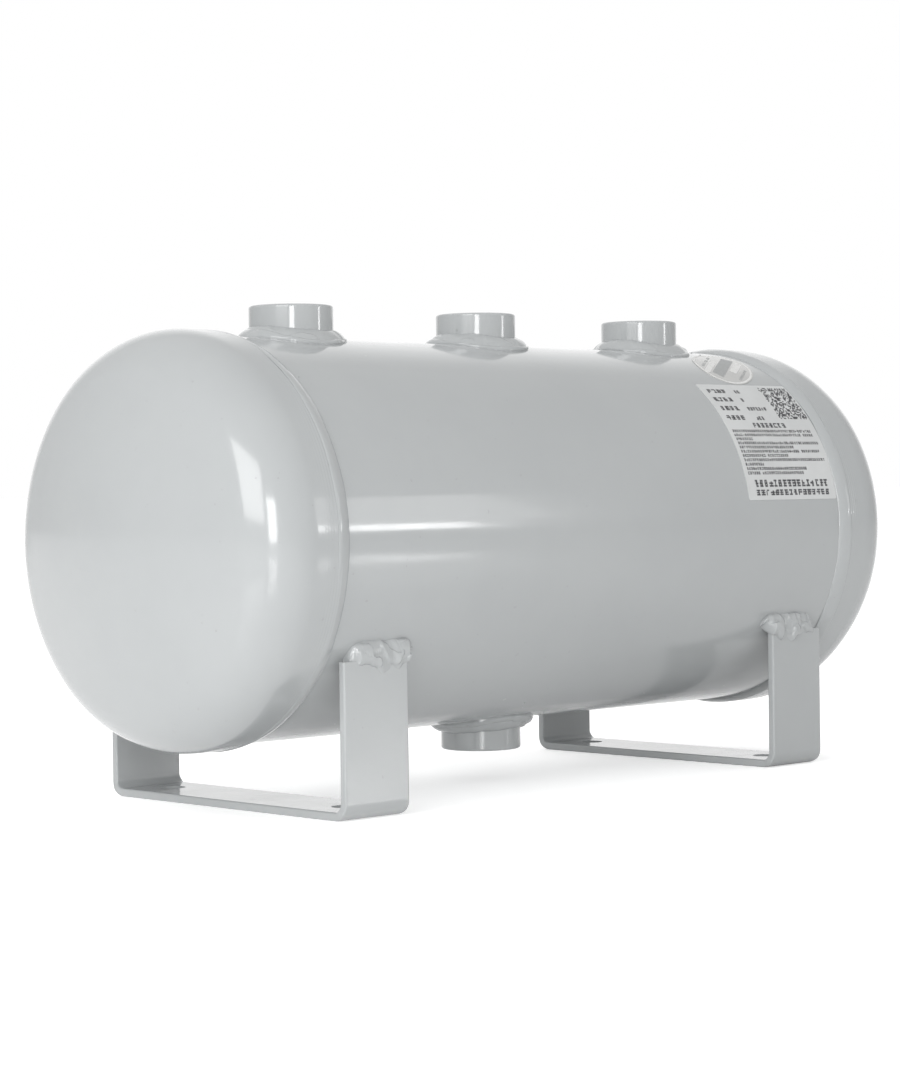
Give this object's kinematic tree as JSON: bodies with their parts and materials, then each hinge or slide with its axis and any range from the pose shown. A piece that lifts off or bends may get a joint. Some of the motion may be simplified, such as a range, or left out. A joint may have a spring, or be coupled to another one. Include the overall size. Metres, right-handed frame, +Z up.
{
  "type": "air receiver tank",
  "caption": "Horizontal cylindrical air receiver tank with domed ends, threaded ports on top, a drain below and U-shaped feet.",
  "frame": {"origin": "on the mounting plane of the feet, below the middle of the tank", "axes": "+X along the tank towards the labelled end, +Z up towards the three ports, -Y is the front with the labels"},
  "size_m": [0.3634, 0.1498, 0.181],
  "materials": {
    "painted_shell": "gloss light grey enamel over rolled steel sheet",
    "painted_weld": "gloss light grey enamel over a weld bead",
    "painted_boss": "gloss light grey enamel over turned steel, bare thread",
    "painted_bracket": "gloss light grey enamel over flat bar",
    "data_label_film": null,
    "oval_label_film": "gloss film sticker"
  },
  "bodies": {
    "root": {"shell": "painted_shell", "shell_seam_weld": "painted_weld", "left_head": "painted_shell", "right_head": "painted_shell", "left_head_weld": "painted_weld", "right_head_weld": "painted_weld", "left_port_boss": "painted_boss", "middle_port_boss": "painted_boss", "right_port_boss": "painted_boss", "drain_boss": "painted_boss", "left_port_weld": "painted_weld", "middle_port_weld": "painted_weld", "right_port_weld": "painted_weld", "drain_weld": "painted_weld", "left_bracket": "painted_bracket", "right_bracket": "painted_bracket", "left_bracket_front_weld": "painted_weld", "left_bracket_rear_weld": "painted_weld", "right_bracket_front_weld": "painted_weld", "right_bracket_rear_weld": "painted_weld", "data_label": "data_label_film", "oval_label": "oval_label_film"}
  },
  "joints": []
}
